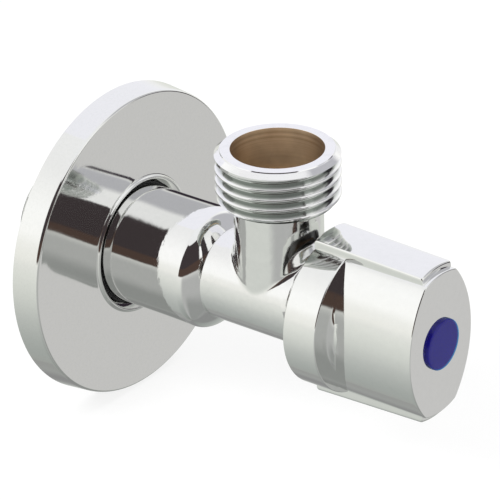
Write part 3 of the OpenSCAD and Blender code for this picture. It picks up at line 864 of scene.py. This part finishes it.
# Studio in degrees about the valve: heading, height, softness of each edge, and the colour there
STUDIO_PANELS = [
    ((-72, 20), (-95, -1), 11, (0.46, 0.465, 0.455)),
    ((-48, 20), (-95, -40), 12, (0.31, 0.32, 0.31)),
    ((20, 80), (-95, -40), 8, (0.28, 0.285, 0.28)),
    ((24, 78), (-37, -14), 5, (0.60, 0.595, 0.588)),
    ((122, 160), (-95, -40), 10, (0.28, 0.28, 0.28)),
    ((160, 205), (-95, -46), 14, (0.34, 0.345, 0.335)),
    ((-205, -176), (-95, -50), 14, (0.37, 0.38, 0.36)),
    ((30, 84), (8, 60), 7, (0.52, 0.52, 0.55)),
    ((100, 200), (0, 80), 12, (0.93, 0.93, 0.99)),
    ((-106, -12), (-1, 54.5), 1.6, (0.050, 0.040, 0.042)),
    ((-106, 4), (-1, 12), 2, (0.080, 0.052, 0.042)),
    ((44, 76), (-15, 4), 3, (0.037, 0.028, 0.040)),
]


def make_world():
    """Studio round the object: white tents, a dark opening behind the camera, and a pale floor below."""
    world = Finish("studio", world=True)
    way = world.add("TexCoord", {}, {}, "Generated")
    x, y, z = apart(world, way)
    height = world.value("Math", {"operation": "ARCSINE"}, {0: z}) * (180 / math.pi)
    heading = world.value("Math", {"operation": "ARCTAN2"}, {0: y, 1: x}) * (180 / math.pi)

    def grey(level, tint=(1, 1, 1)):
        return tuple(level * t for t in tint) + (1,)

    shown = world.add("ValToRGB", {"stops": [
        (0.0, grey(0.26, (0.97, 1.03, 0.97))), (0.18, grey(0.40, (0.97, 1.03, 0.98))),
        (0.27, grey(0.53, (0.98, 1.02, 0.97))), (0.35, grey(0.67, (0.99, 1.02, 0.96))),
        (0.43, grey(0.78, (1.0, 1.02, 0.96))), (0.462, grey(0.82, (1.0, 1.01, 0.96))),
        (0.492, grey(0.91, (1.0, 1.0, 0.95))), (0.535, grey(0.95, (1.0, 1.0, 0.96))),
        (0.58, grey(1.06, (1.0, 1.0, 0.98))), (0.66, grey(1.06, (1.0, 1.0, 0.99))),
        (0.72, grey(1.0, (1.0, 1.0, 0.99))), (0.80, grey(0.92, (1.0, 1.0, 1.0))),
        (1.0, grey(0.94, (0.99, 1.0, 1.02)))]}, {"Fac": height / 180 + 0.5})
    for (left, right), (low, high), soft, colour in STUDIO_PANELS:
        inside = band(heading, left, right, soft) * band(height, low, high, soft)
        shown = world.add("Mix", {"data_type": "RGBA"}, {0: inside, 6: shown, 7: (*colour, 1)}, 2)
    rays = [world.value("LightPath", {}, {}, kind) for kind in
            ("Is Camera Ray", "Is Glossy Ray", "Is Transmission Ray")]
    plain = world.add("Mix", {"data_type": "RGBA"}, {0: rays[1], 6: (0.62, 0.62, 0.62, 1), 7: shown}, 2)
    white = world.value("Math", {"operation": "MAXIMUM"}, {0: rays[0], 1: rays[2]})
    backdrop = world.add("Mix", {"data_type": "RGBA"}, {0: white, 6: plain, 7: (1, 1, 1, 1)}, 2)
    shader = world.add("Background", {}, {"Color": backdrop, "Strength": 1.0})
    bpy.context.scene.world = world.surface(shader)


def make_floor():
    """Pale floor under the wall plate's rim: near white to the camera, with the valve's shadow left in it."""
    half, z = 2500, plate_low[2] - 0.05
    mesh = bpy.data.meshes.new("floor")
    corners = [(-half, -half, z), (half, -half, z), (half, half, z), (-half, half, z)]
    mesh.from_pydata((np.array(corners) * MM).tolist(), [], [(0, 1, 2, 3)])
    floor = bpy.data.objects.new("floor", mesh)
    bpy.context.scene.collection.objects.link(floor)
    floor.visible_glossy = False
    finish = Finish("pale_floor")
    cloud = noise(finish, place_mm(finish), 0.02, 2.0)
    shade = blend_colour(finish, cloud, (0.80, 0.80, 0.80), (0.82, 0.82, 0.82))
    lit = finish.add("BsdfPrincipled", {}, {"Base Color": shade, "Roughness": 1.0, "Specular IOR Level": 0.0})
    white = finish.add("Emission", {}, {"Color": (1, 1, 1, 1), "Strength": 1.08})
    clear = finish.add("BsdfTransparent", {}, {"Color": (1, 1, 1, 1)})
    rays = [finish.value("LightPath", {}, {}, kind) for kind in
            ("Is Camera Ray", "Is Glossy Ray", "Is Transmission Ray")]
    seen = finish.value("Math", {"operation": "MAXIMUM"}, {0: rays[0], 1: rays[1]})
    seen = finish.value("Math", {"operation": "MAXIMUM"}, {0: seen, 1: rays[2]})
    pale = finish.add("MixShader", {}, {0: seen * 0.72, 1: lit, 2: white})
    below = finish.add("NewGeometry", {}, {}, "Backfacing")
    mesh.materials.append(finish.surface(finish.add("MixShader", {}, {0: below, 1: pale, 2: clear})))


def make_lamp(name, place, aim, size, power):
    """Soft area lamp that metal doesn't mirror: the studio round the valve is what it mirrors."""
    data = bpy.data.lights.new(name, "AREA")
    data.shape, data.size, data.energy = "DISK", size * MM, power
    lamp = bpy.data.objects.new(name, data)
    way = Vector(place) - Vector(aim)
    lamp.rotation_euler = way.to_track_quat("Z", "Y").to_euler()
    lamp.location = Vector(place) * MM
    lamp.visible_glossy = False
    lamp.visible_camera = False
    bpy.context.scene.collection.objects.link(lamp)


body_chrome = make_body_chrome()
plate_chrome = make_plate_chrome()
knob_chrome = make_knob_chrome()
thread_chrome = make_thread_chrome()
machined_brass = make_bare_metal("brass_bare", (0.36, 0.24, 0.13), (0.52, 0.38, 0.23), 0.22)
cast_zinc = make_bare_metal("zinc_cast", (0.36, 0.36, 0.37), (0.50, 0.50, 0.51), 0.45, 0)
steel = make_bare_metal("steel", (0.50, 0.50, 0.51), (0.66, 0.66, 0.67), 0.2, 0)
rubber = make_moulded("rubber_black", (0.012, 0.012, 0.013), (0.025, 0.025, 0.026), 0.55, 0.01)
white_plastic = make_moulded("plastic_white", (0.72, 0.71, 0.67), (0.80, 0.79, 0.76), 0.38)
ivory_plastic = make_moulded("plastic_ivory", (0.66, 0.62, 0.50), (0.74, 0.70, 0.58), 0.4)
ceramic = make_moulded("ceramic", (0.76, 0.74, 0.70), (0.84, 0.83, 0.80), 0.12, 0.001, 0.4)
fibre = make_moulded("fibre_red", (0.22, 0.05, 0.035), (0.32, 0.08, 0.05), 0.6, 0.02)
blue = make_blue_plastic()
bore_brass = make_bore_brass()
make_camera()
make_world()
make_floor()
make_lamp("key_lamp", (-60, -330, 380), (25, 0, 0), 260, 1.6)
make_lamp("fill_lamp", (330, -180, 160), (25, 0, 0), 260, 0.6)
make_lamp("back_lamp", (40, 360, 260), (25, 0, 0), 260, 0.6)
make_wall_plate().data.materials.append(plate_chrome)
make_body(body_chrome, machined_brass)
make_outlet(thread_chrome, bore_brass)
make_inlet(thread_chrome, machined_brass)
make_knob(knob_chrome, cast_zinc)
make_index_cap().data.materials.append(blue)
finishes = {"plate_grip_ring": rubber, "headwork_housing": machined_brass, "headwork_gasket": fibre,
            "spindle": machined_brass,
            "spindle_o_ring_inner": rubber, "spindle_o_ring_outer": rubber, "thrust_washer": white_plastic,
            "retaining_clip": steel, "moving_disc": ceramic, "fixed_disc": ceramic, "seat_seal": rubber,
            "seat_seal_ring": white_plastic, "disc_driver": ivory_plastic, "knob_bush": ivory_plastic,
            "knob_screw": steel, "screw_washer": steel, "valve_body": body_chrome, "wall_plate": plate_chrome,
            "knob": knob_chrome, "index_cap": blue}
for node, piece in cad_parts.items():
    piece.data.materials.clear()
    piece.data.materials.append(finishes[node])

bpy.context.scene.view_settings.view_transform = "Standard"
